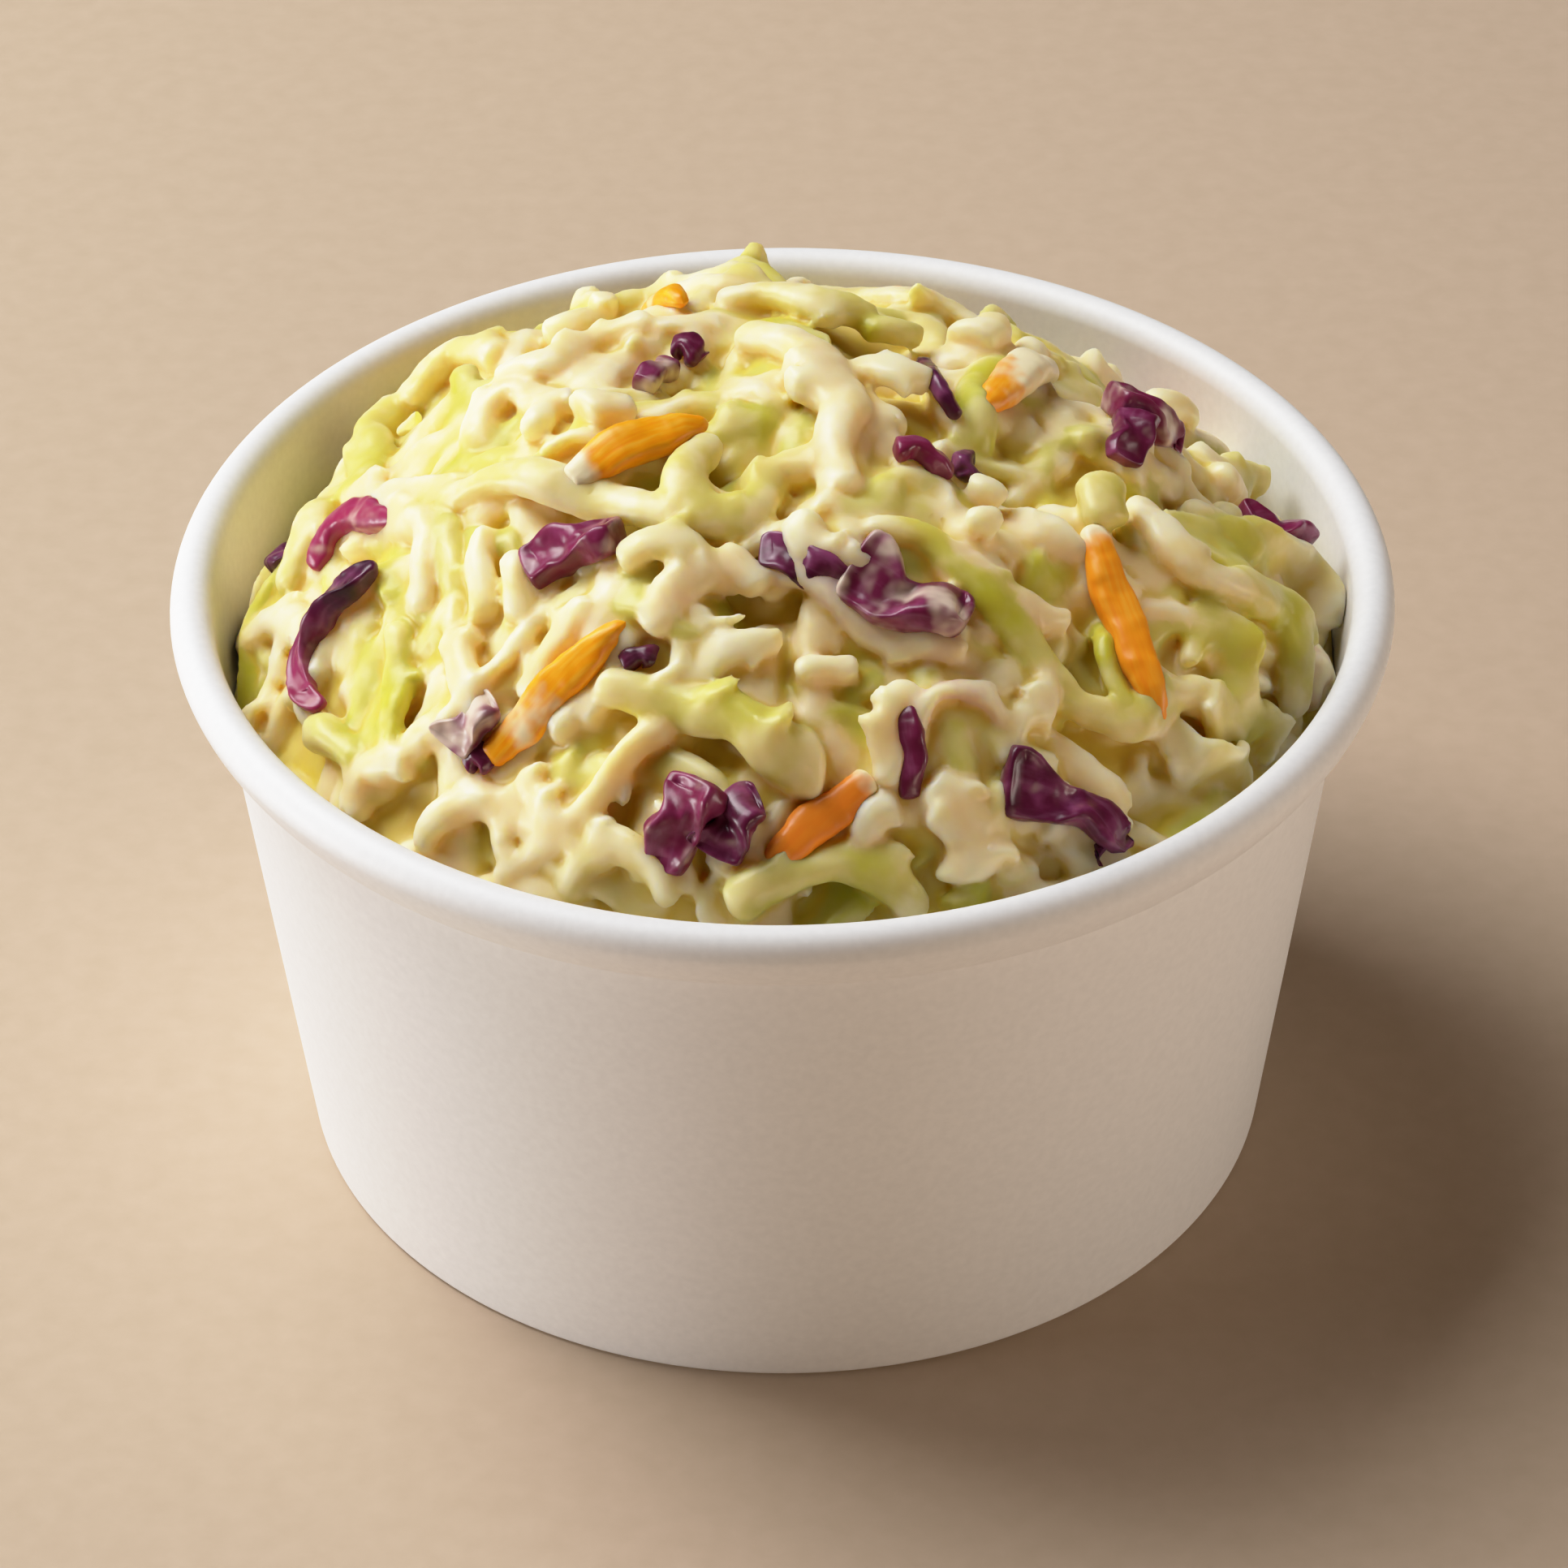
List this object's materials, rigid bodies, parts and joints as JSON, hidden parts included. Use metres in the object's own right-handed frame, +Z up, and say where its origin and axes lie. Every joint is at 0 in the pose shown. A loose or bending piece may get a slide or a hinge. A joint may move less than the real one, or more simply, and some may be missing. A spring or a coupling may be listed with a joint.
{
  "type": "coleslaw",
  "caption": "Creamy coleslaw heaped above the rolled rim of a squat, plain white paper cup.",
  "frame": {"origin": "centre of the cup's foot, on the surface it stands on", "axes": "+Z up along the cup's axis; -Y is the front, the side the view of the heap was taken from, and +X is to its right"},
  "size_m": [0.096, 0.096, 0.0702],
  "materials": {
    "white_paperboard": "matte",
    "dressed_slaw": "satin",
    "red_cabbage": "satin",
    "carrot": "satin"
  },
  "bodies": {
    "root": {"cup_side": "white_paperboard", "cup_bottom": "white_paperboard", "slaw": "dressed_slaw"}
  },
  "joints": []
}
